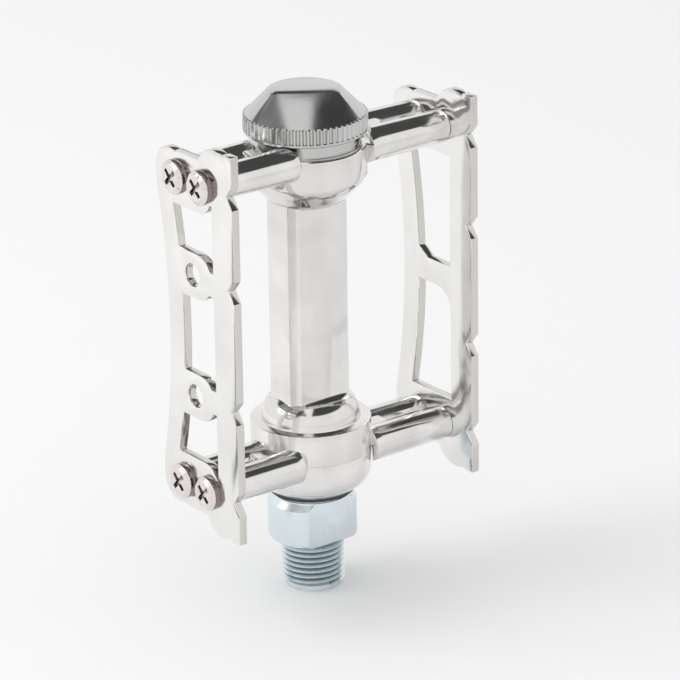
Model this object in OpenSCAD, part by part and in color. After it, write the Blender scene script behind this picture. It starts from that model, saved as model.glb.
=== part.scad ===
// Single-sided track pedal, millimetres, Z up the spindle, X towards the shoe side

/* [Spindle] */
// Radius of the crank thread over its crests
thread_radius = 7.14; // [6.5:0.01:8]
// Length of the crank thread
thread_length = 11.9; // [10:0.1:15]
// Radius of the wrench collar
collar_radius = 10.1; // [9:0.1:12]
// Distance across the two wrench flats
collar_flats = 15; // [13:0.1:17]
// Height at which the collar's full radius ends
collar_top = 20.9; // [18:0.1:22]
// Radius of the stem inside the barrel
stem_radius = 3.9; // [3.4:0.05:4.2]
// How far the stem reaches past the body
stem_over = 8.2; // [5:0.1:8.4]

/* [Bearings] */
// Radius of one ball
ball_radius = 1.984; // [1.5:0.001:2.4]
// Depth of the inboard ball centres inside the body's end face
inner_ball_depth = 1.8; // [1.4:0.1:2.4]
// Depth of the outboard ball centres inside the body's end face
outer_ball_depth = 4; // [3.6:0.1:4.4]
// Running clearance between a ball and its race
ball_clear = 0.03; // [0.02:0.01:0.08]
// Thickness of a cup's wall beside the balls
cup_thick = 1.2; // [0.9:0.05:1.4]

/* [Body] */
// Radius of the two bearing housings
housing_radius = 13.6; // [13:0.1:15]
// Thickness of a housing's wall around its cup
housing_wall = 2.2; // [1.6:0.1:2.6]
// Height of the inboard housing's lower edge
inner_mouth = 33.4; // [32:0.1:34.2]
// Height of the inboard housing
inner_height = 7.3; // [7:0.1:8.6]
// Length of the body between its two end faces
body_length = 71.8; // [70:0.1:76]
// Height of the outboard housing's full radius
outer_height = 6.7; // [6.4:0.1:7.7]
// Half thickness of the barrel between its two flat faces
barrel_half_x = 5.6; // [5.3:0.1:6.5]
// Half width of each flat face
barrel_flat_half = 6.5; // [5:0.1:7.5]
// Half width of the barrel along the plates' direction
barrel_half_y = 8.2; // [7.5:0.1:9.5]
// Radius of the bore through the barrel
barrel_bore = 4.4; // [4.2:0.05:5]
// Radius of an arm post where it meets its plate
post_tip_radius = 3.7; // [3.2:0.1:4.2]
// Radius of an arm post where it meets the housing
post_root_radius = 4; // [3.7:0.1:4.5]
// Thickness of the web that joins two posts
web_thick = 3; // [2:0.1:4]
// Thickness of the pad between two posts at their root
pad_thick = 5.8; // [4:0.1:6.4]
// Distance from the spindle axis to the end of that pad
pad_reach = 18; // [15:0.1:24]

/* [Plates] */
// Distance from the spindle axis to the outer face of each plate
plate_out = 33.6; // [30:0.1:37]
// Thickness of the plate sheet
plate_thick = 2.1; // [1.5:0.1:2.6]
// Position of the toothed edge
tooth_edge = 18.5; // [17:0.1:20]
// How far the toothed edge runs past the screws
tooth_over = 9.3; // [7.5:0.1:10.5]
// Depth of a tooth notch
notch_depth = 2; // [1:0.1:2.4]
// Half width of a tooth notch
notch_half = 2.5; // [1.5:0.1:3.5]
// Distance of the inner pair of notches from the middle
notch_near = 14; // [12:0.1:16]
// Position of the window edge beside the teeth
rail_edge = 10.9; // [9.9:0.1:13]
// Position of the window edge at mid height on the other side
window_edge = -0.3; // [-1.5:0.1:0.5]
// Distance from the screws to the end windows
window_gap = 3.7; // [3.6:0.1:5]
// Where the end windows step down beside the screws
shoulder_x = 6.2; // [4:0.1:7]
// Distance of the toe clip holes from the middle
clip_half = 14.1; // [12:0.1:14.5]
// Position of the toe clip holes across the plate
clip_x = 3.3; // [2.5:0.1:3.6]
// Radius of a toe clip hole
clip_radius = 2.6; // [2:0.05:3]
// Half height of an ear around a toe clip hole
ear_half = 5.3; // [4.6:0.1:5.5]

/* [Screws] */
// Position of the low row of cage screws
screw_x_low = -1.5; // [-2.5:0.1:-0.5]
// Position of the high row of cage screws
screw_x_high = 7.8; // [7.6:0.1:8.8]
// Radius of a screw head
head_radius = 3.9; // [3:0.1:4.4]
// Height of a screw head
head_height = 2; // [1.4:0.1:3]
// Radius of a screw shank
shank_radius = 2; // [1.5:0.05:2.5]
// Length of a screw shank under the head
shank_length = 11; // [6:0.5:14]
// Clearance around a shank in its plate
hole_clear = 0.2; // [0.05:0.05:0.4]
// Clearance around a shank in its post
tap_clear = 0.04; // [0.01:0.01:0.1]

/* [Dust cap] */
// How far the knurled flange stands out past the housing
flange_over = 0.2; // [0:0.1:0.8]
// Gap between the body and the flange
flange_gap = 3.1; // [1.3:0.1:3.8]
// Thickness of the flange
flange_height = 4.1; // [3.5:0.1:5.7]
// Height of the three-sided top
cap_height = 5.5; // [5:0.1:8.6]
// Side of the triangular top face
cap_side = 15; // [10:0.1:18]
// Turn of the three-sided top about the spindle
cap_turn = 26; // [-60:0.5:60]

/* [Hidden] */
fit = 0.03;
eps = 0.01;
cup_radius = housing_radius - housing_wall;
cup_wall = cup_radius - cup_thick;
ball_circle = cup_wall - 2.3;
ball_count = floor(PI * ball_circle / (1.02 * ball_radius));
land_radius = ball_circle + 0.7;
outer_mouth = inner_mouth + body_length;
inner_top = inner_mouth + inner_height;
outer_low = outer_mouth - outer_height;
inner_ball_z = inner_mouth + inner_ball_depth;
outer_ball_z = outer_mouth - outer_ball_depth;
stem_end = outer_mouth + stem_over;
screw_low = inner_mouth;
screw_high = outer_mouth - 0.8;
plate_mid = (screw_low + screw_high) / 2;
screw_half = (screw_high - screw_low) / 2;
tooth_half = screw_half + tooth_over;
window_half = screw_half - window_gap;
flange_radius = housing_radius + flange_over;
neck_radius = cup_radius + 0.6;
flange_low = outer_mouth + flange_gap;
flange_top = flange_low + flange_height;
cap_top = flange_top + cap_height;
push = (ball_radius + ball_clear) * sqrt(2);
inner_race = ball_circle + inner_ball_z;
outer_race = outer_ball_z - ball_circle;
cup_in = ball_circle - 1.3;
cover_radius = land_radius + 1.4;
cover_low = collar_top + 3.3;
cover_bore = land_radius + 0.1;
bowl = 5;
inner_cup_top = inner_race + push - cup_in + 0.6;
inner_cup_low = inner_mouth + 1;
outer_cup_low = outer_race - push + cup_in - 0.6;
outer_cup_top = outer_ball_z + 0.7;
post_y0 = housing_radius - 3.6;
back_edge = screw_x_low - 7.9;
back_arc = 150;
back_waist = 3.5;
window_arc = 140;
divider_half = 2.9;
window_corner = 5;
bell_side = barrel_half_x + 1.8;
bell_width = housing_radius - bell_side - 2.4;
bell_height = 5.7;
post_y1 = plate_out - plate_thick;
screw_rows = [screw_x_low, screw_x_high];
nut_low = outer_race + push + land_radius + 2.2;
nut_radius = stem_radius + 3;
nut_height = 3.6;
washer_thick = 1;
cone_flats = stem_radius + 2.7;

module spindle() {
    color("silver") difference() {
        rotate_extrude($fn = 96) polygon([
            [0, 0], [thread_radius - 0.8, 0], [thread_radius, 0.8],
            [thread_radius, thread_length - 0.6], [thread_radius - 0.7, thread_length],
            [collar_radius - 0.7, thread_length], [collar_radius, thread_length + 0.7],
            [collar_radius, collar_top], [land_radius + 0.3, collar_top + 1.4],
            [land_radius + 0.3, collar_top + 1.8], [land_radius, collar_top + 1.8],
            [land_radius, inner_race - push - land_radius],
            [stem_radius + 0.8, inner_race - push - stem_radius - 0.8],
            [stem_radius + 0.8, inner_ball_z + 2], [stem_radius, inner_ball_z + 9],
            [stem_radius, stem_end - 0.6], [stem_radius - 0.6, stem_end], [0, stem_end]]);
        for (s = [-1, 1]) translate([s * (collar_flats / 2 + 5), 0, (thread_length + collar_top) / 2 + 0.55])
            cube([10, 30, collar_top - thread_length + 2.1], center = true);
        translate([-1, stem_radius - 0.8, nut_low - 4.5]) cube([2, 3, 20]);
    }
}

module cone_ring(outer) {
    rotate_extrude($fn = 96) polygon(outer);
}

module outer_cone() {
    color("silver") difference() {
        cone_ring([
            [stem_radius + fit, outer_race + push + stem_radius + 1.4],
            [stem_radius + 0.9, outer_race + push + stem_radius + 0.9],
            [land_radius, outer_race + push + land_radius],
            [land_radius, nut_low], [stem_radius + fit, nut_low]]);
        for (s = [-1, 1]) translate([s * (cone_flats + 5), 0, nut_low + 0.3])
            cube([10, 4 * cone_flats, 3.4], center = true);
    }
}

module lock_washer() {
    color("silver") {
        difference() {
            translate([0, 0, nut_low]) cylinder(r = nut_radius - 0.5, h = washer_thick, $fn = 72);
            translate([0, 0, nut_low - 1]) cylinder(r = stem_radius + fit, h = washer_thick + 2, $fn = 72);
        }
        translate([-0.9, stem_radius - 0.7, nut_low]) cube([1.8, 1.2, washer_thick]);
    }
}

module lock_nut() {
    color("silver") difference() {
        translate([0, 0, nut_low + washer_thick]) cylinder(r = nut_radius, h = nut_height, $fn = 6);
        translate([0, 0, nut_low]) cylinder(r = stem_radius + fit, h = nut_height + 3, $fn = 72);
    }
}

module ball_ring(z) {
    color("lightgray") for (i = [0:ball_count - 1]) rotate([0, 0, i * 360 / ball_count])
        translate([ball_circle, 0, z]) sphere(r = ball_radius, $fn = 32);
}

module inner_ball_ring() { ball_ring(inner_ball_z); }

module outer_ball_ring() { ball_ring(outer_ball_z); }

module inner_cup() {
    color("silver") cone_ring([
        [cup_in, inner_cup_top], [cup_in, inner_race + push - cup_in],
        [cup_wall, inner_race + push - cup_wall], [cup_wall, inner_cup_low],
        [cup_radius, inner_cup_low], [cup_radius, inner_cup_top]]);
}

module outer_cup() {
    color("silver") cone_ring([
        [cup_in, outer_cup_low], [cup_in, outer_race - push + cup_in],
        [cup_wall, outer_race - push + cup_wall], [cup_wall, outer_cup_top],
        [cup_radius, outer_cup_top], [cup_radius, outer_cup_low + 1.5],
        [cup_radius - 1.5, outer_cup_low]]);
}

module inner_dust_cover() {
    color("gainsboro") cone_ring([
        [cover_bore, cover_low], [cover_radius, cover_low],
        for (a = [70:-14:0]) [housing_radius - 0.1 - bowl * (1 - cos(a)), cover_low + bowl * (1 - sin(a))],
        [housing_radius - 0.1, inner_mouth], [cup_radius - fit, inner_mouth],
        [cup_radius - fit, inner_cup_low - 0.05], [cup_wall + 0.2, inner_cup_low - 0.05],
        [cup_wall + 0.2, cover_low + bowl], [cover_bore + 0.6, cover_low + 1.4],
        [cover_bore, cover_low + 1.4]]);
}

module inner_seal() {
    color("black") difference() {
        translate([0, 0, cover_low - 0.9]) cylinder(r = cover_radius - 0.4, h = 0.9, $fn = 96);
        translate([0, 0, cover_low - 2]) cylinder(r = cover_bore, h = 4, $fn = 96);
    }
}

module post(x, sy, sz) {
    translate([x, sy * post_y1, plate_mid + sz * screw_half]) rotate([sy * 90, 0, 0])
        cylinder(r1 = post_tip_radius, r2 = post_root_radius, h = post_y1 - post_y0, $fn = 64);
}

module arm_web(sy, sz, thick, reach) {
    translate([screw_x_low, sy > 0 ? post_y0 : -reach, plate_mid + sz * screw_half - thick / 2])
        cube([screw_x_high - screw_x_low, reach - post_y0, thick]);
}

module arm(sy, sz) {
    for (x = screw_rows) post(x, sy, sz);
    arm_web(sy, sz, web_thick, post_y1 - 1.5);
    arm_web(sy, sz, pad_thick, pad_reach);
}

module barrel_section() {
    polygon([
        [barrel_half_x, -barrel_flat_half], [barrel_half_x, barrel_flat_half],
        [barrel_half_x - 1.9, barrel_half_y], [1.9 - barrel_half_x, barrel_half_y],
        [-barrel_half_x, barrel_flat_half], [-barrel_half_x, -barrel_flat_half],
        [1.9 - barrel_half_x, -barrel_half_y], [barrel_half_x - 1.9, -barrel_half_y]]);
}

module pedal_body() {
    color("gainsboro") difference() {
        union() {
            translate([0, 0, inner_top - 0.5]) linear_extrude(outer_low - inner_top - 1)
                barrel_section();
            cone_ring([
                [0, inner_mouth], [housing_radius, inner_mouth], [housing_radius, inner_top],
                for (a = [0:15:90]) [bell_side + bell_width * cos(a), inner_top + bell_height * sin(a)],
                [0, inner_top + bell_height]]);
            cone_ring([
                [0, outer_low - 6.4], [bell_side + 0.2, outer_low - 6.4], [bell_side + 1.6, outer_low - 5.6],
                [housing_radius - 3.1, outer_low - 3.9], [housing_radius - 1.2, outer_low - 2],
                [housing_radius, outer_low], [housing_radius, outer_mouth - 0.4],
                [housing_radius - 0.4, outer_mouth], [0, outer_mouth]]);
            difference() {
                for (sy = [-1, 1]) for (sz = [-1, 1]) arm(sy, sz);
                translate([0, 0, outer_mouth]) cylinder(r = flange_radius + 0.5, h = 20, $fn = 96);
                translate([0, 0, inner_mouth - 20]) cylinder(r = housing_radius + 0.3, h = 20, $fn = 96);
            }
        }
        translate([0, 0, inner_mouth]) cylinder(r = barrel_bore, h = body_length, $fn = 72);
        translate([0, 0, inner_mouth - 1])
            cylinder(r = cup_radius, h = inner_cup_top - inner_mouth + 1, $fn = 96);
        translate([0, 0, inner_cup_top - eps])
            cylinder(r1 = cup_in, r2 = barrel_bore - 0.02, h = 8, $fn = 96);
        cone_ring([
            [0, outer_cup_low], [cup_radius - 1.5, outer_cup_low],
            [cup_radius, outer_cup_low + 1.5], [cup_radius, outer_cup_top + 0.05],
            [neck_radius + fit, outer_cup_top + 0.05], [neck_radius + fit, outer_mouth + 1],
            [0, outer_mouth + 1]]);
        for (sy = [-1, 1]) for (sz = [-1, 1]) for (x = screw_rows)
            translate([x, sy * (post_y1 + 1), plate_mid + sz * screw_half]) rotate([sy * 90, 0, 0])
                cylinder(r = shank_radius + tap_clear, h = shank_length - plate_thick + 2.5, $fn = 48);
    }
}

module cap_loft() {
    n = 12;
    m = 3 * n;
    base = flange_radius - 0.5;
    corner = cap_side / sqrt(3);
    ring_low = [for (i = [0:m - 1]) let (a = i * 120 / n) [base * cos(a), base * sin(a), flange_top - 0.3]];
    ring_mid = [for (p = ring_low) [p[0], p[1], flange_top + 0.3]];
    ring_high = [for (i = [0:m - 1]) let (k = floor(i / n), u = (i - k * n) / n, a = k * 120, b = a + 120) [
        corner * ((1 - u) * cos(a) + u * cos(b)), corner * ((1 - u) * sin(a) + u * sin(b)), cap_top]];
    rotate([0, 0, cap_turn]) polyhedron(
        points = concat(ring_low, ring_mid, ring_high, [[0, 0, cap_top]]),
        faces = concat(
            [[for (i = [0:m - 1]) i]],
            [for (i = [0:m - 1]) [i, m + i, m + (i + 1) % m, (i + 1) % m]],
            [for (i = [0:m - 1]) [m + i, 2 * m + i, 2 * m + (i + 1) % m]],
            [for (i = [0:m - 1]) [m + i, 2 * m + (i + 1) % m, m + (i + 1) % m]],
            [for (i = [0:m - 1]) [2 * m + i, 3 * m, 2 * m + (i + 1) % m]]));
}

module dust_cap() {
    color("gray") difference() {
        union() {
            translate([0, 0, outer_cup_top + 0.2])
                cylinder(r = neck_radius, h = flange_low - outer_cup_top, $fn = 96);
            translate([0, 0, flange_low]) cylinder(r = flange_radius, h = flange_height, $fn = 96);
            cap_loft();
        }
        translate([0, 0, outer_cup_top - 1])
            cylinder(r = cup_wall + 0.2, h = flange_top - outer_cup_top - 0.4, $fn = 96);
        translate([0, 0, flange_top - 2]) cylinder(r = nut_radius + 0.4, h = 3.4, $fn = 72);
    }
}

module edge_lobe(x, r, reach) {
    for (s = [-1, 1]) translate([x, plate_mid + s * (reach - r)]) circle(r = r, $fn = 64);
}

module plate_outline() {
    difference() {
        union() {
            translate([back_edge, plate_mid - screw_half - 1.5])
                square([tooth_edge - back_edge, 2 * screw_half + 3]);
            translate([screw_x_low - 0.5, plate_mid - screw_half - 5.9])
                square([screw_x_high - screw_x_low + 2.7, 2 * screw_half + 11.8]);
            translate([screw_x_high, plate_mid - tooth_half + 2.2])
                square([tooth_edge - screw_x_high, 2 * tooth_half - 4.4]);
            edge_lobe(screw_x_low - 2.7, 5.4, screw_half + 6);
            edge_lobe(screw_x_high + 4.4, 6.4, tooth_half + 0.2);
            translate([tooth_edge - 3.2, plate_mid - tooth_half]) square([3.2, 2 * tooth_half]);
        }
        translate([back_edge + back_waist - back_arc, plate_mid]) circle(r = back_arc, $fn = 360);
        for (s = [-1, 1]) for (d = [notch_near, screw_half - 0.2]) translate([tooth_edge, plate_mid + s * d])
            polygon([[0.5, -notch_half - 0.6], [-notch_depth, 0], [0.5, notch_half + 0.6]]);
        for (s = [-1, 1]) for (x = screw_rows) translate([x, plate_mid + s * screw_half])
            circle(r = shank_radius + hole_clear, $fn = 48);
    }
}

module window_limit() {
    difference() {
        translate([back_edge, plate_mid - window_half]) square([rail_edge - back_edge, 2 * window_half]);
        translate([window_edge - window_arc, plate_mid]) circle(r = window_arc, $fn = 360);
    }
}

module clip_ear(s) {
    translate([back_edge, plate_mid + s * clip_half - ear_half])
        square([clip_x + 1.8 - back_edge, 2 * ear_half]);
    translate([clip_x + 1.8, plate_mid + s * clip_half]) circle(r = ear_half, $fn = 64);
    translate([0, plate_mid + s * (clip_half - 0.4) - 2.8]) square([rail_edge + 1, 5.6]);
}

module end_shoulder(s) {
    translate([back_edge, plate_mid + s * (window_half - 1.2) - 1.6]) square([shoulder_x - back_edge, 3.2]);
    translate([shoulder_x, plate_mid + s * (window_half - 2.8 + 4.4)]) circle(r = 4.4, $fn = 64);
}

module front_cage_plate() {
    color("gainsboro") translate([0, -post_y1, 0]) rotate([90, 0, 0])
        linear_extrude(plate_thick) difference() {
            plate_outline();
            difference() {
                window_limit();
                for (s = [-1, 1]) clip_ear(s);
                for (s = [-1, 1]) end_shoulder(s);
            }
            for (s = [-1, 1]) translate([clip_x, plate_mid + s * clip_half])
                circle(r = clip_radius, $fn = 48);
        }
}

module rear_cage_plate() {
    color("gainsboro") translate([0, plate_out, 0]) rotate([90, 0, 0])
        linear_extrude(plate_thick) difference() {
            plate_outline();
            difference() {
                window_limit();
                translate([back_edge, plate_mid - divider_half])
                    square([rail_edge + 1 - back_edge, 2 * divider_half]);
                for (s = [-1, 1]) translate([back_edge, plate_mid + s * (window_half - 1.3) - 1.5])
                    square([rail_edge + 1 - back_edge, 3]);
                polygon([
                    [back_edge, plate_mid + divider_half - eps], [2.8, plate_mid + divider_half - eps],
                    [window_edge - 0.2, plate_mid + divider_half + 2.1],
                    [back_edge, plate_mid + divider_half + 2.1]]);
                translate([rail_edge - window_corner, plate_mid - divider_half - window_corner])
                    difference() {
                        square(window_corner + 1);
                        circle(r = window_corner, $fn = 96);
                    }
            }
        }
}

module cage_screw(x, sy, sz) {
    color("silver") translate([x, sy * plate_out, plate_mid + sz * screw_half]) rotate([-sy * 90, 0, 0]) {
        difference() {
            union() {
                cylinder(r = head_radius, h = head_height - 0.7, $fn = 64);
                translate([0, 0, head_height - 0.7])
                    cylinder(r1 = head_radius, r2 = head_radius - 0.9, h = 0.7, $fn = 64);
            }
            for (a = [45, 135]) rotate([0, 0, a]) translate([-2.3, -0.5, head_height - 1.1])
                cube([4.6, 1, 2]);
        }
        translate([0, 0, -shank_length]) cylinder(r = shank_radius, h = shank_length + eps, $fn = 48);
    }
}

module screw_front_1() { cage_screw(screw_x_low, -1, 1); }
module screw_front_2() { cage_screw(screw_x_high, -1, 1); }
module screw_front_3() { cage_screw(screw_x_low, -1, -1); }
module screw_front_4() { cage_screw(screw_x_high, -1, -1); }
module screw_rear_1() { cage_screw(screw_x_low, 1, 1); }
module screw_rear_2() { cage_screw(screw_x_high, 1, 1); }
module screw_rear_3() { cage_screw(screw_x_low, 1, -1); }
module screw_rear_4() { cage_screw(screw_x_high, 1, -1); }

spindle();
outer_cone();
lock_washer();
lock_nut();
inner_ball_ring();
outer_ball_ring();
pedal_body();
inner_cup();
outer_cup();
inner_dust_cover();
inner_seal();
dust_cap();
front_cage_plate();
rear_cage_plate();
screw_front_1();
screw_front_2();
screw_front_3();
screw_front_4();
screw_rear_1();
screw_rear_2();
screw_rear_3();
screw_rear_4();
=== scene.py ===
import bpy
import math
from mathutils import Matrix, Vector


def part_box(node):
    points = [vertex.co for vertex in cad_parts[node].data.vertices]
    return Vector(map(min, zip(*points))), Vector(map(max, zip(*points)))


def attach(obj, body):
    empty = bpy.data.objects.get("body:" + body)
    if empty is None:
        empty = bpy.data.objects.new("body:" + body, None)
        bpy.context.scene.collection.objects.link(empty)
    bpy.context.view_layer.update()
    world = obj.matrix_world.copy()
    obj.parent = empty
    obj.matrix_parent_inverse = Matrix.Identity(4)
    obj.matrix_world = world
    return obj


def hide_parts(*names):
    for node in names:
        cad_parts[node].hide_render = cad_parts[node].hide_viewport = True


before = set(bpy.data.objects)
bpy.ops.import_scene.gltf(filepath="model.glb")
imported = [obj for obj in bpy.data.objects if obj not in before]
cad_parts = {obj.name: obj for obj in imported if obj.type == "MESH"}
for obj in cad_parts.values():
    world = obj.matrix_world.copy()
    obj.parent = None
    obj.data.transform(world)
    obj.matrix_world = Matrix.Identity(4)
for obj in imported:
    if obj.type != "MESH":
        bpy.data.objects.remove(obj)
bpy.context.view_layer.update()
mm = 0.001


# the studio: camera, floor, light, in metres and degrees
studio = {
    "imageSide": 680,               # pixels across the photo's frame
    "focal": 4591,                  # focal length in those pixels
    "sensor": 36.0,
    "clipNear": 0.05,
    "clipFar": 20,
    "azimuth": 53.1,                # round from the front plate's side
    "elevation": 21.2,
    "roll": 0.9,                    # clockwise
    "distance": 1.014,
    "aim": (0.0114, 0.0, 0.0621),
    "floorRadius": 6,
    "floorColour": (0.935, 0.935, 0.935),
    "skyStrength": 0.96,            # seen directly or in the metal
    "fillStrength": 0.86,           # as it lights matt surfaces
    "keyPlace": (-0.35, -0.75, 0.75),
    "keySize": 0.7,
    "keyPower": 3.2,
    "ceilingHeight": 0.50,
    "ceilingRadius": 0.62,
    "ceilingFade": 0.86,            # the part of the radius where it starts to fade into the sky
    "ceilingGrey": 0.26,            # brightness left of the bright strip
    "ceilingDark": 0.07,            # brightness right of it and behind it
    "stripLeft": -0.105,            # edges of the strip overhead, across the view
    "stripRight": 0.035,
    "stripBack": -0.19,             # where the strip ends behind the pedal
    "stripSoft": 0.016,             # half the width of its soft edges
    "cardTurn": -62,                # dark card on the floor, round from the camera's side
    "cardNear": 0.115,
    "cardFar": 0.34,
    "cardWidth": 0.045,
    "cardHeight": 0.0004,
    "cardGrey": 0.18,
}


def deselectAll():
    if bpy.context.object and bpy.context.object.mode != "OBJECT":
        bpy.ops.object.mode_set(mode="OBJECT")
    bpy.ops.object.select_all(action="DESELECT")


def makeActive(piece):
    deselectAll()
    piece.select_set(True)
    bpy.context.view_layer.objects.active = piece


def selectWhere(piece, test, kind="vertices"):
    # leaves the piece in edit mode, with only what passes the test selected
    makeActive(piece)
    bpy.ops.object.mode_set(mode="EDIT")
    bpy.context.tool_settings.mesh_select_mode = (kind == "vertices", kind == "edges", False)
    bpy.ops.mesh.select_all(action="DESELECT")
    bpy.ops.object.mode_set(mode="OBJECT")
    for element in getattr(piece.data, kind):
        element.select = bool(test(element))
    bpy.ops.object.mode_set(mode="EDIT")


def selectWhole(piece):
    makeActive(piece)
    bpy.ops.object.mode_set(mode="EDIT")
    bpy.ops.mesh.select_all(action="SELECT")


def finishEdit():
    bpy.ops.object.mode_set(mode="OBJECT")


def lookFrom(azimuth, elevation):
    a, e = math.radians(azimuth), math.radians(elevation)
    return Vector((math.sin(a) * math.cos(e), -math.cos(a) * math.cos(e), math.sin(e)))


def makeCamera():
    toCamera = lookFrom(studio["azimuth"], studio["elevation"])
    side = Vector((0, 0, 1)).cross(toCamera).normalized()
    up = toCamera.cross(side)
    turn = math.radians(studio["roll"])
    tiltedSide = side * math.cos(turn) - up * math.sin(turn)
    tiltedUp = side * math.sin(turn) + up * math.cos(turn)
    place = Vector(studio["aim"]) + toCamera * studio["distance"]
    columns = Matrix((tiltedSide, tiltedUp, toCamera)).transposed()
    bpy.ops.object.camera_add()
    camera = bpy.context.object
    camera.name = "photoCamera"
    camera.matrix_world = Matrix.Translation(place) @ columns.to_4x4()
    camera.data.sensor_width = studio["sensor"]
    camera.data.lens = studio["focal"] / studio["imageSide"] * studio["sensor"]
    camera.data.clip_start = studio["clipNear"]
    camera.data.clip_end = studio["clipFar"]
    bpy.context.scene.camera = camera


# small helpers for node trees
def newMaterial(name):
    material = bpy.data.materials.new(name)
    material.use_nodes = True
    material.node_tree.nodes.clear()
    return material, material.node_tree.nodes, material.node_tree.links


def feed(links, value, socket):
    # a number or a colour is set as the socket's value, an output is linked to it
    if isinstance(value, tuple):
        socket.default_value = (*value, 1)
    elif isinstance(value, (int, float)):
        socket.default_value = value
    else:
        links.new(value, socket)


def addOutput(nodes, links, shader, kind="ShaderNodeOutputMaterial"):
    output = nodes.new(kind)
    links.new(shader.outputs[0], output.inputs["Surface"])


def addGlow(nodes, links, strength):
    emission = nodes.new("ShaderNodeEmission")
    feed(links, strength, emission.inputs["Strength"])
    addOutput(nodes, links, emission)


def mathNode(nodes, links, operation, *values):
    node = nodes.new("ShaderNodeMath")
    node.operation = operation
    for slot, value in enumerate(values):
        feed(links, value, node.inputs[slot])
    return node.outputs[0]


def stepBetween(nodes, links, source, zeroAt, oneAt):
    # a soft step, which falls instead of rising where oneAt is the lower of the two
    step = nodes.new("ShaderNodeMapRange")
    step.interpolation_type = "SMOOTHSTEP"
    step.inputs["From Min"].default_value = zeroAt
    step.inputs["From Max"].default_value = oneAt
    links.new(source, step.inputs["Value"])
    return step.outputs["Result"]


def scaleTo(nodes, links, source, atZero, atOne):
    scale = nodes.new("ShaderNodeMapRange")
    feed(links, atZero, scale.inputs["To Min"])
    feed(links, atOne, scale.inputs["To Max"])
    links.new(source, scale.inputs["Value"])
    return scale


def mixColour(nodes, links, factor, first, second):
    mix = nodes.new("ShaderNodeMix")
    mix.data_type = "RGBA"
    links.new(factor, mix.inputs["Factor"])
    feed(links, first, mix.inputs["A"])
    feed(links, second, mix.inputs["B"])
    return mix.outputs["Result"]


def axesOf(nodes, links, coordinate="Object"):
    where = nodes.new("ShaderNodeTexCoord")
    split = nodes.new("ShaderNodeSeparateXYZ")
    links.new(where.outputs[coordinate], split.inputs[0])
    return split.outputs


def radiusOf(nodes, links, axes):
    # the distance from the object's Z axis
    flat = nodes.new("ShaderNodeCombineXYZ")
    links.new(axes["X"], flat.inputs["X"])
    links.new(axes["Y"], flat.inputs["Y"])
    length = nodes.new("ShaderNodeVectorMath")
    length.operation = "LENGTH"
    links.new(flat.outputs[0], length.inputs[0])
    return length.outputs["Value"]


def makeFloor():
    deselectAll()
    bpy.ops.mesh.primitive_circle_add(
        vertices=96, radius=studio["floorRadius"], fill_type="NGON", location=(0, 0, 0))
    floor = bpy.context.object
    floor.name = "studioFloor"
    material, nodes, links = newMaterial("paleFloor")
    diffuse = nodes.new("ShaderNodeBsdfDiffuse")
    feed(links, studio["floorColour"], diffuse.inputs["Color"])
    addOutput(nodes, links, diffuse)
    floor.data.materials.append(material)


def hideFromAllButMetal(piece):
    # what is left is the piece's reflection
    piece.visible_camera = False
    piece.visible_diffuse = False
    piece.visible_shadow = False
    piece.visible_transmission = False
    piece.visible_volume_scatter = False


def makeCeiling():
    # a ceiling with one bright strip, grey on its left and dark on its right and behind
    deselectAll()
    radius = studio["ceilingRadius"]
    bpy.ops.mesh.primitive_circle_add(
        vertices=64, radius=radius, fill_type="NGON", location=(0, 0, studio["ceilingHeight"]),
        rotation=(0, 0, math.radians(studio["azimuth"])))
    ceiling = bpy.context.object
    ceiling.name = "studioCeiling"
    material, nodes, links = newMaterial("stripCeiling")
    axes = axesOf(nodes, links)
    towardsCamera = mathNode(nodes, links, "MULTIPLY", axes["Y"], -1.0)
    edges = []
    for source, name in ((axes["X"], "stripLeft"), (axes["X"], "stripRight"), (towardsCamera, "stripBack")):
        low, high = studio[name] - studio["stripSoft"], studio[name] + studio["stripSoft"]
        edges.append(stepBetween(nodes, links, source, low, high))
    leftEdge, rightEdge, backEdge = edges
    acrossStrip = mathNode(nodes, links, "SUBTRACT", leftEdge, rightEdge)
    strip = mathNode(nodes, links, "MULTIPLY", acrossStrip, backEdge)
    behind = mathNode(nodes, links, "SUBTRACT", 1.0, backEdge)
    darkSide = mathNode(nodes, links, "MAXIMUM", rightEdge, behind)
    around = scaleTo(nodes, links, darkSide, studio["ceilingGrey"], studio["ceilingDark"])
    level = mathNode(nodes, links, "MAXIMUM", around.outputs["Result"], strip)
    rim = stepBetween(nodes, links, radiusOf(nodes, links, axes), radius * studio["ceilingFade"], radius)
    rimLight = mathNode(nodes, links, "MULTIPLY", rim, studio["skyStrength"])
    addGlow(nodes, links, mathNode(nodes, links, "MAXIMUM", level, rimLight))
    ceiling.data.materials.append(material)
    hideFromAllButMetal(ceiling)


def makeFloorCard():
    # a dark card draws the thin dark lines along the upright edges of polished metal
    deselectAll()
    heading = math.radians(studio["azimuth"] - 90 + studio["cardTurn"])
    middle = (studio["cardNear"] + studio["cardFar"]) / 2
    bpy.ops.mesh.primitive_plane_add(
        size=1, location=(middle * math.cos(heading), middle * math.sin(heading), studio["cardHeight"]),
        rotation=(0, 0, heading))
    card = bpy.context.object
    card.name = "floorCard"
    card.scale = (studio["cardFar"] - studio["cardNear"], studio["cardWidth"], 1)
    material, nodes, links = newMaterial("darkCard")
    addGlow(nodes, links, studio["cardGrey"])
    card.data.materials.append(material)
    hideFromAllButMetal(card)


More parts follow.
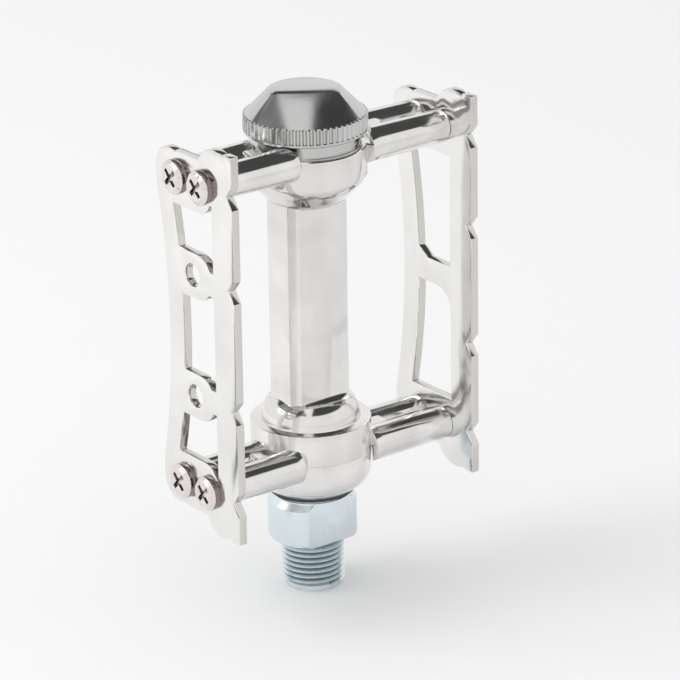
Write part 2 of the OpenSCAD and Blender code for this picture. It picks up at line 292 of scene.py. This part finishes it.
def makeSky():
    world = bpy.data.worlds.new("studioSky")
    bpy.context.scene.world = world
    world.use_nodes = True
    nodes, links = world.node_tree.nodes, world.node_tree.links
    nodes.clear()
    path = nodes.new("ShaderNodeLightPath")
    seen = path.outputs["Is Camera Ray"]
    for ray in ("Is Glossy Ray", "Is Transmission Ray"):
        seen = mathNode(nodes, links, "MAXIMUM", seen, path.outputs[ray])
    strength = scaleTo(nodes, links, seen, studio["fillStrength"], studio["skyStrength"])
    background = nodes.new("ShaderNodeBackground")
    background.inputs["Color"].default_value = (1, 1, 1, 1)
    links.new(strength.outputs["Result"], background.inputs["Strength"])
    addOutput(nodes, links, background, "ShaderNodeOutputWorld")


def makeKeyLight():
    place = Vector(studio["keyPlace"])
    aim = (Vector(studio["aim"]) - place).normalized()
    bpy.ops.object.light_add(type="AREA", location=place)
    key = bpy.context.object
    key.name = "keyLight"
    key.rotation_euler = aim.to_track_quat("-Z", "Y").to_euler()
    key.data.shape = "DISK"
    key.data.size = studio["keySize"]
    key.data.energy = studio["keyPower"]


makeCamera()
makeFloor()
makeCeiling()
makeFloorCard()
makeSky()
makeKeyLight()
bpy.context.scene.view_settings.view_transform = "Standard"
print("studio ready")


# surface effects that several materials share
handling = {
    "blotchDetail": 3,
    "markDetail": 4,
    "blotchLow": 0.35,              # noise at which a blotch is at its smoothest
    "blotchHigh": 0.65,             # and at its roughest
    "markHeight": 0.0004,           # metres
}
turning = {
    "pitch": 3500.0,                # scale of the noise along the axis
    "across": 0.02,                 # the noise is stretched so far across it that only rings show
    "detail": 2,
    "height": 0.0003,               # metres
}


def groupSockets(group, inputs, outputs):
    for direction, names in (("INPUT", inputs), ("OUTPUT", outputs)):
        for name in names:
            group.interface.new_socket(name, in_out=direction, socket_type="NodeSocketFloat")
    return group.nodes.new("NodeGroupInput"), group.nodes.new("NodeGroupOutput")


def makeNoise(nodes, links, vector, scale, detail):
    noise = nodes.new("ShaderNodeTexNoise")
    noise.inputs["Detail"].default_value = detail
    links.new(vector, noise.inputs["Vector"])
    links.new(scale, noise.inputs["Scale"])
    return noise.outputs["Fac"]


def makeHandlingGroup():
    # soft blotches and fine marks from handling, as a mask, a roughness and a height
    group = bpy.data.node_groups.new("handlingMarks", "ShaderNodeTree")
    entry, leave = groupSockets(
        group, ("Blotch Scale", "Mark Scale", "Smooth", "Rough"), ("Mask", "Roughness", "Height"))
    nodes, links = group.nodes, group.links
    where = nodes.new("ShaderNodeTexCoord").outputs["Object"]
    blotch = makeNoise(nodes, links, where, entry.outputs["Blotch Scale"], handling["blotchDetail"])
    mark = makeNoise(nodes, links, where, entry.outputs["Mark Scale"], handling["markDetail"])
    level = scaleTo(nodes, links, blotch, entry.outputs["Smooth"], entry.outputs["Rough"])
    level.inputs["From Min"].default_value = handling["blotchLow"]
    level.inputs["From Max"].default_value = handling["blotchHigh"]
    links.new(blotch, leave.inputs["Mask"])
    links.new(level.outputs["Result"], leave.inputs["Roughness"])
    links.new(mark, leave.inputs["Height"])
    return group


def makeTurnedGroup():
    # fine rings left by a lathe, running round the spindle's axis
    group = bpy.data.node_groups.new("turnedRings", "ShaderNodeTree")
    entry, leave = groupSockets(group, ("Pitch",), ("Height",))
    nodes, links = group.nodes, group.links
    where = nodes.new("ShaderNodeTexCoord").outputs["Object"]
    flat = nodes.new("ShaderNodeMapping")
    flat.inputs["Scale"].default_value = (turning["across"], turning["across"], 1)
    links.new(where, flat.inputs["Vector"])
    rings = makeNoise(nodes, links, flat.outputs[0], entry.outputs["Pitch"], turning["detail"])
    links.new(rings, leave.inputs["Height"])
    return group


handlingMarks = makeHandlingGroup()
turnedRings = makeTurnedGroup()

# radii, heights and widths in millimetres
thread = {
    "pitch": 1.27,
    "crest": 7.14,
    "root": 6.22,
    "start": 0.75,
    "end": 11.2,
    "margin": 0.4,                  # above its end, short of the collar
    "crestFlat": 0.16,
    "width": 0.96,                  # of the pitch, at the root
    "overlap": 0.02,                # the shank covers the root by this much
    "steps": 72,                    # in one turn
    "smoothAngle": 25,
    "rootShadeStart": 1.1,              # the painted root shade comes in between these heights
    "rootShadeFull": 1.5,
    "unshadedCrest": 0.05,             # depth without painted shade
    "shankSkin": 0.1,               # points this close to the shank's surface are moved
}

# dark and light are the colours between which the blotches vary, smooth and rough their roughness;
# the edge colour is painted shade on what doesn't face along Y (on the plates partly their duller cut), the
# root colour painted shade in the thread's roots
looks = {
    "polishedAlloy": {
        "dark": (0.60, 0.58, 0.565), "light": (0.97, 0.965, 0.955), "smooth": 0.07, "rough": 0.17,
        "blotch": 85.0, "marks": 500.0, "bump": 0.02},
    "plateAlloy": {
        "dark": (0.74, 0.73, 0.71), "light": (0.94, 0.935, 0.92), "smooth": 0.10, "rough": 0.20,
        "blotch": 70.0, "marks": 1400.0, "bump": 0.02, "edgeShade": (0.68, 0.66, 0.63)},
    # the spindle's root colour is painted shade in its thread's roots
    "zincSteel": {
        "dark": (0.66, 0.75, 0.79), "light": (0.82, 0.88, 0.91), "smooth": 0.16, "rough": 0.30,
        "blotch": 150.0, "marks": 1200.0, "bump": 0.03, "turned": 0.05, "rootShade": (0.30, 0.35, 0.38)},
    "capSteel": {
        "dark": (0.50, 0.50, 0.49), "light": (0.66, 0.66, 0.66), "smooth": 0.14, "rough": 0.24,
        "blotch": 90.0, "marks": 900.0, "bump": 0.02, "turned": 0.03},
    # the screws' edge colour is painted shade on the rims of their heads
    "screwSteel": {
        "dark": (0.66, 0.62, 0.60), "light": (0.88, 0.84, 0.82), "smooth": 0.10, "rough": 0.20,
        "blotch": 420.0, "marks": 1400.0, "bump": 0.06, "edgeShade": (0.29, 0.245, 0.235)},
    "raceSteel": {
        "dark": (0.50, 0.50, 0.52), "light": (0.62, 0.62, 0.64), "smooth": 0.20, "rough": 0.34,
        "blotch": 200.0, "marks": 1500.0, "bump": 0.03, "turned": 0.05},
    "ballSteel": {
        "dark": (0.72, 0.72, 0.74), "light": (0.80, 0.80, 0.82), "smooth": 0.05, "rough": 0.09,
        "blotch": 300.0, "marks": 1500.0},
    "sealRubber": {
        "dark": (0.02, 0.02, 0.022), "light": (0.05, 0.05, 0.052), "smooth": 0.45, "rough": 0.65,
        "blotch": 400.0, "marks": 2500.0, "metallic": 0.0},
}
# painted shade: the edge colour takes over as the normal turns away from Y
edgeShadeMask = {"fullShadeAt": 0.25, "noShadeAt": 0.6}     # Y part of the surface's normal


def placeGroup(nodes, group, values):
    node = nodes.new("ShaderNodeGroup")
    node.node_tree = group
    for name, value in values.items():
        node.inputs[name].default_value = value
    return node


def paintEdgeShade(nodes, links, faceColour, edgeShadeColour):
    # painted shade: what doesn't face along Y, the cut walls of the plates and the rims of the screw heads,
    # gets a darker colour for shade and dark reflection; on the plates it also stands for their duller cut
    # finish
    facing = mathNode(nodes, links, "ABSOLUTE", axesOf(nodes, links, "Normal")["Y"])
    isFace = stepBetween(nodes, links, facing, edgeShadeMask["fullShadeAt"], edgeShadeMask["noShadeAt"])
    return mixColour(nodes, links, isFace, edgeShadeColour, faceColour)


def paintThreadRootShade(nodes, links, crestColour, rootShadeColour):
    # painted shade: the crank thread is darkened between its crests, in its roots
    axes = axesOf(nodes, links)
    radius = radiusOf(nodes, links, axes)
    unshadedRadius = thread["crest"] - thread["unshadedCrest"]
    rootShadeEnd = thread["end"] + thread["margin"]
    inside = stepBetween(nodes, links, radius, unshadedRadius * mm, thread["root"] * mm)
    overEnd = stepBetween(nodes, links, axes["Z"], thread["rootShadeStart"] * mm, thread["rootShadeFull"] * mm)
    underCollar = stepBetween(nodes, links, axes["Z"], rootShadeEnd * mm, thread["end"] * mm)
    alongThread = mathNode(nodes, links, "MULTIPLY", inside, overEnd)
    rootShadeMask = mathNode(nodes, links, "MULTIPLY", alongThread, underCollar)
    return mixColour(nodes, links, rootShadeMask, crestColour, rootShadeColour)


def addBump(nodes, links, height, strength, distance):
    bump = nodes.new("ShaderNodeBump")
    bump.inputs["Strength"].default_value = strength
    bump.inputs["Distance"].default_value = distance
    links.new(height, bump.inputs["Height"])
    return bump


def makeSurface(name):
    look = looks[name]
    material, nodes, links = newMaterial(name)
    shader = nodes.new("ShaderNodeBsdfPrincipled")
    shader.inputs["Metallic"].default_value = look.get("metallic", 1.0)
    marks = placeGroup(nodes, handlingMarks, {
        "Blotch Scale": look["blotch"], "Mark Scale": look["marks"],
        "Smooth": look["smooth"], "Rough": look["rough"]})
    colour = mixColour(nodes, links, marks.outputs["Mask"], look["dark"], look["light"])
    # painted shade on the edges that turn away from Y
    if "edgeShade" in look:
        colour = paintEdgeShade(nodes, links, colour, look["edgeShade"])
    # painted shade in the thread's roots
    if "rootShade" in look:
        colour = paintThreadRootShade(nodes, links, colour, look["rootShade"])
    links.new(colour, shader.inputs["Base Color"])
    links.new(marks.outputs["Roughness"], shader.inputs["Roughness"])
    if "bump" in look:
        relief = addBump(nodes, links, marks.outputs["Height"], look["bump"], handling["markHeight"])
        if "turned" in look:
            turned = placeGroup(nodes, turnedRings, {"Pitch": turning["pitch"]})
            rings = addBump(nodes, links, turned.outputs["Height"], look["turned"], turning["height"])
            links.new(relief.outputs["Normal"], rings.inputs["Normal"])
            relief = rings
        links.new(relief.outputs["Normal"], shader.inputs["Normal"])
    addOutput(nodes, links, shader)
    return material


materials = {name: makeSurface(name) for name in looks}
print("materials ready")


# how copies of the solids are cleaned and their edges softened, in degrees and metres
cleaning = {"mergeDistance": 0.000002, "flatAngle": 0.4}
softening = {"segments": 2, "smoothAngle": 35}


def dress(piece, material):
    piece.data.materials.clear()
    piece.data.materials.append(materials[material])


def copyOfNode(node, name):
    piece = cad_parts[node].copy()
    piece.data = piece.data.copy()
    piece.name = name
    piece.data.name = name
    piece.parent = None
    for key in list(piece.keys()):
        del piece[key]
    bpy.context.scene.collection.objects.link(piece)
    makeActive(piece)
    if piece.data.has_custom_normals:
        bpy.ops.mesh.customdata_custom_splitnormals_clear()
    selectWhole(piece)
    bpy.ops.mesh.remove_doubles(threshold=cleaning["mergeDistance"])
    bpy.ops.mesh.dissolve_limited(angle_limit=math.radians(cleaning["flatAngle"]))
    finishEdit()
    return piece


def softenEdges(piece, width, angle):
    makeActive(piece)
    bevel = piece.modifiers.new("edgeRound", "BEVEL")
    bevel.width = width
    bevel.segments = softening["segments"]
    bevel.limit_method = "ANGLE"
    bevel.angle_limit = math.radians(angle)
    bevel.use_clamp_overlap = False
    bevel.harden_normals = False
    bpy.ops.object.modifier_apply(modifier=bevel.name)
    bpy.ops.object.shade_smooth_by_angle(angle=math.radians(softening["smoothAngle"]))


def settle(piece, body, slot, *nodes):
    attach(piece, body)
    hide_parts(*nodes)


# round is the width of a rounded edge in millimetres, angle how far its faces turn at least, in degrees
finished = {
    "pedal_body": {"name": "polishedBody", "metal": "polishedAlloy", "slot": "polished_alloy",
                   "round": 0.18, "angle": 38},
    "front_cage_plate": {"name": "frontPlate", "metal": "plateAlloy", "slot": "plate_alloy",
                         "round": 0.28, "angle": 50},
    "rear_cage_plate": {"name": "rearPlate", "metal": "plateAlloy", "slot": "plate_alloy",
                        "round": 0.28, "angle": 50},
    "inner_dust_cover": {"name": "coneCover", "metal": "polishedAlloy", "slot": "polished_alloy",
                         "round": 0.15, "angle": 38},
}
barrel = {"edgeRound": 0.7, "segments": 3, "edgeLength": 15, "reach": 12.0}


def roundBarrelEdges(piece):
    # the barrel's long upright edges were polished rounder than the rest
    points = piece.data.vertices

    def isLongUpright(edge):
        low, high = (points[index].co for index in edge.vertices)
        return abs(high.z - low.z) > barrel["edgeLength"] * mm and abs(low.y) < barrel["reach"] * mm

    selectWhere(piece, isLongUpright, "edges")
    bpy.ops.mesh.bevel(offset=barrel["edgeRound"] * mm, segments=barrel["segments"], clamp_overlap=True)
    finishEdit()


for node, look in finished.items():
    piece = copyOfNode(node, look["name"])
    if node == "pedal_body":
        roundBarrelEdges(piece)
    softenEdges(piece, look["round"] * mm, look["angle"])
    dress(piece, look["metal"])
    settle(piece, "pedal", look["slot"], node)
print("body, plates and cover finished")


# radii, heights and widths in millimetres, angles in degrees
cap = {
    "neck": 12.0,
    "bore": 10.4,
    "nutRoom": 7.3,
    "roomTop": 113.8,
    "boreTop": 111.0,
    "flangeLow": 108.3,
    "flangeTop": 112.4,
    "lipRadius": 13.7,
    "lip": 0.6,
    "edge": 0.15,                   # of the lip's lower rim and the knurl's upper one
    "knurlRadius": 13.8,
    "knurlGap": 0.1,                # slope between the lip and the knurl
    "knurlDepth": 0.5,
    "teeth": 58,
    "toothPoints": 4,               # round the rim, for one tooth and its groove
    "groovePoints": (2, 3),         # those of the four that lie in the groove
    "flank": 13.2,
    "shoulder": 0.06,               # two rings close together part the flank's shading from the knurl's
    "shoulderStep": 0.05,
    "topRadius": 8.3,
    "topDrop": 0.35,                # the edge round the top face falls this far
    "topInset": 1.2,                # over this width
    "flat": 3.6,                    # distance from the axis to the flat's upper edge
    "turn": -35,                    # the way the flat faces
    "smoothAngle": 28,
    "ringSkin": 0.05,               # points this close to a ring belong to it
}


def stackRings(piece, rings):
    # each ring is extruded from the one before, to its own radius and height
    makeActive(piece)
    bpy.ops.object.mode_set(mode="EDIT")
    bpy.context.tool_settings.mesh_select_mode = (False, True, False)
    bpy.ops.mesh.select_all(action="SELECT")
    for (lastRadius, lastHeight), (radius, height) in zip(rings, rings[1:]):
        bpy.ops.mesh.extrude_region_move(
            TRANSFORM_OT_translate={"value": (0, 0, (height - lastHeight) * mm)})
        bpy.ops.transform.resize(
            value=(radius / lastRadius, radius / lastRadius, 1), center_override=(0, 0, height * mm))
    bpy.ops.mesh.edge_face_add()
    finishEdit()


def capRings(low, high):
    # from the nut room's roof down the inside, then up the outside to the top face
    lipTop = cap["flangeLow"] + cap["lip"]
    step = cap["shoulderStep"]
    return [
        (cap["nutRoom"], cap["roomTop"]), (cap["nutRoom"], cap["boreTop"]),
        (cap["bore"], cap["boreTop"]), (cap["bore"], low), (cap["neck"], low),
        (cap["neck"], cap["flangeLow"]), (cap["lipRadius"] - cap["edge"], cap["flangeLow"]),
        (cap["lipRadius"], cap["flangeLow"] + cap["edge"]), (cap["lipRadius"], lipTop),
        (cap["knurlRadius"], lipTop + cap["knurlGap"]),
        (cap["knurlRadius"], cap["flangeTop"] - cap["edge"]),
        (cap["flank"] + cap["shoulder"], cap["flangeTop"] + step),
        (cap["flank"], cap["flangeTop"] + 2 * step),
        (cap["topRadius"], high - cap["topDrop"]), (cap["topRadius"] - cap["topInset"], high)]


def cutKnurl(piece):
    step = 2 * math.pi / (cap["toothPoints"] * cap["teeth"])

    def inGroove(v):
        onRim = math.hypot(v.co.x, v.co.y) > (cap["knurlRadius"] - cap["ringSkin"]) * mm
        return onRim and round(math.atan2(v.co.y, v.co.x) / step) % cap["toothPoints"] in cap["groovePoints"]

    selectWhere(piece, inGroove)
    shrink = 1 - cap["knurlDepth"] / cap["knurlRadius"]
    bpy.ops.transform.resize(value=(shrink, shrink, 1), center_override=(0, 0, 0))
    finishEdit()


def pressFlat(piece, high):
    # the two upper rings are flattened on one side, and the flank below them follows
    for drop, inset in ((cap["topDrop"], 0.0), (0.0, cap["topInset"])):
        edge = (cap["flat"] - inset) * mm
        height = (high - drop) * mm
        selectWhere(piece, lambda v: abs(v.co.z - height) < cap["ringSkin"] * mm and v.co.x > edge)
        bpy.ops.transform.resize(value=(0, 1, 1), center_override=(edge, 0, height))
        finishEdit()


def makeCap():
    low, high = (corner[2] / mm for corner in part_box("dust_cap"))
    rings = capRings(low, high)
    deselectAll()
    bpy.ops.mesh.primitive_circle_add(
        vertices=cap["toothPoints"] * cap["teeth"], radius=rings[0][0] * mm, fill_type="NGON",
        location=(0, 0, 0))
    piece = bpy.context.object
    piece.name = "knurledCap"
    bpy.ops.object.mode_set(mode="EDIT")
    bpy.ops.transform.translate(value=(0, 0, rings[0][1] * mm))
    finishEdit()
    stackRings(piece, rings)
    cutKnurl(piece)
    pressFlat(piece, high)
    selectWhole(piece)
    bpy.ops.transform.rotate(value=math.radians(-cap["turn"]), orient_axis="Z", center_override=(0, 0, 0))
    bpy.ops.mesh.normals_make_consistent(inside=False)
    finishEdit()
    bpy.ops.object.shade_smooth_by_angle(angle=math.radians(cap["smoothAngle"]))
    dress(piece, "capSteel")
    settle(piece, "pedal", "cap_steel", "dust_cap")


makeCap()
print("cap finished")

screw = {"round": 0.12, "angle": 40, "sides": ("front", "rear"), "count": 4}
for side in screw["sides"]:
    for number in range(1, screw["count"] + 1):
        node = f"screw_{side}_{number}"
        piece = copyOfNode(node, f"panScrew_{side}_{number}")
        softenEdges(piece, screw["round"] * mm, screw["angle"])
        dress(piece, "screwSteel")
        settle(piece, "pedal", "screw_steel", node)
print("screws finished")

spindle = {"round": 0.15, "angle": 38}


def makeSpindle():
    # the solid's shank has the radius of the crests, so it is thinned to that of the roots
    piece = copyOfNode("spindle", "turnedSpindle")

    def onShank(v):
        underCollar = v.co.z < (thread["end"] + thread["margin"]) * mm
        return underCollar and math.hypot(v.co.x, v.co.y) > (thread["crest"] - thread["shankSkin"]) * mm

    selectWhere(piece, onShank)
    shrink = (thread["root"] + thread["overlap"]) / thread["crest"]
    bpy.ops.transform.resize(value=(shrink, shrink, 1), center_override=(0, 0, 0))
    finishEdit()
    softenEdges(piece, spindle["round"] * mm, spindle["angle"])
    dress(piece, "zincSteel")
    settle(piece, "spindle_set", "zinc_steel", "spindle")


def makeThread():
    # one tooth of the thread, drawn in the XZ plane and swept up a helix
    deselectAll()
    bpy.ops.mesh.primitive_plane_add(size=1, location=(0, 0, 0))
    ridge = bpy.context.object
    ridge.name = "crankThread"
    middle = (thread["crest"] + thread["root"]) / 2
    depth = thread["crest"] - thread["root"]
    height = (thread["start"] + thread["pitch"] / 2) * mm
    width = thread["pitch"] * thread["width"] * mm
    bpy.ops.object.mode_set(mode="EDIT")
    bpy.ops.transform.rotate(value=math.radians(90), orient_axis="X", center_override=(0, 0, 0))
    bpy.ops.transform.resize(value=(depth * mm, 1, width), center_override=(0, 0, 0))
    bpy.ops.transform.translate(value=(middle * mm, 0, height))
    finishEdit()
    selectWhere(ridge, lambda v: v.co.x > middle * mm)
    bpy.ops.transform.resize(
        value=(1, 1, thread["crestFlat"] / thread["pitch"]), center_override=(0, 0, height))
    finishEdit()
    makeActive(ridge)
    screwTurn = ridge.modifiers.new("threadTurn", "SCREW")
    turns = (thread["end"] - thread["start"]) / thread["pitch"] - 1
    screwTurn.axis = "Z"
    screwTurn.angle = math.radians(360) * turns
    screwTurn.screw_offset = thread["pitch"] * turns * mm
    screwTurn.iterations = 1
    screwTurn.steps = int(thread["steps"] * turns)
    screwTurn.render_steps = screwTurn.steps
    screwTurn.use_smooth_shade = False
    bpy.ops.object.modifier_apply(modifier=screwTurn.name)
    bpy.ops.object.mode_set(mode="EDIT")
    bpy.ops.mesh.select_all(action="DESELECT")
    bpy.context.tool_settings.mesh_select_mode = (False, True, False)
    bpy.ops.mesh.select_non_manifold()
    bpy.ops.mesh.fill_holes(sides=8)
    bpy.ops.mesh.select_all(action="SELECT")
    bpy.ops.mesh.normals_make_consistent(inside=False)
    finishEdit()
    bpy.ops.object.shade_smooth_by_angle(angle=math.radians(thread["smoothAngle"]))
    dress(ridge, "zincSteel")
    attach(ridge, "spindle_set")


makeSpindle()
makeThread()
print("spindle and thread finished")

inside = {
    "outer_cone": "raceSteel",
    "lock_washer": "raceSteel",
    "lock_nut": "raceSteel",
    "inner_cup": "raceSteel",
    "outer_cup": "raceSteel",
    "inner_ball_ring": "ballSteel",
    "outer_ball_ring": "ballSteel",
    "inner_seal": "sealRubber",
}
for node, material in inside.items():
    dress(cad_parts[node], material)
print("inner pieces dressed")

deselectAll()
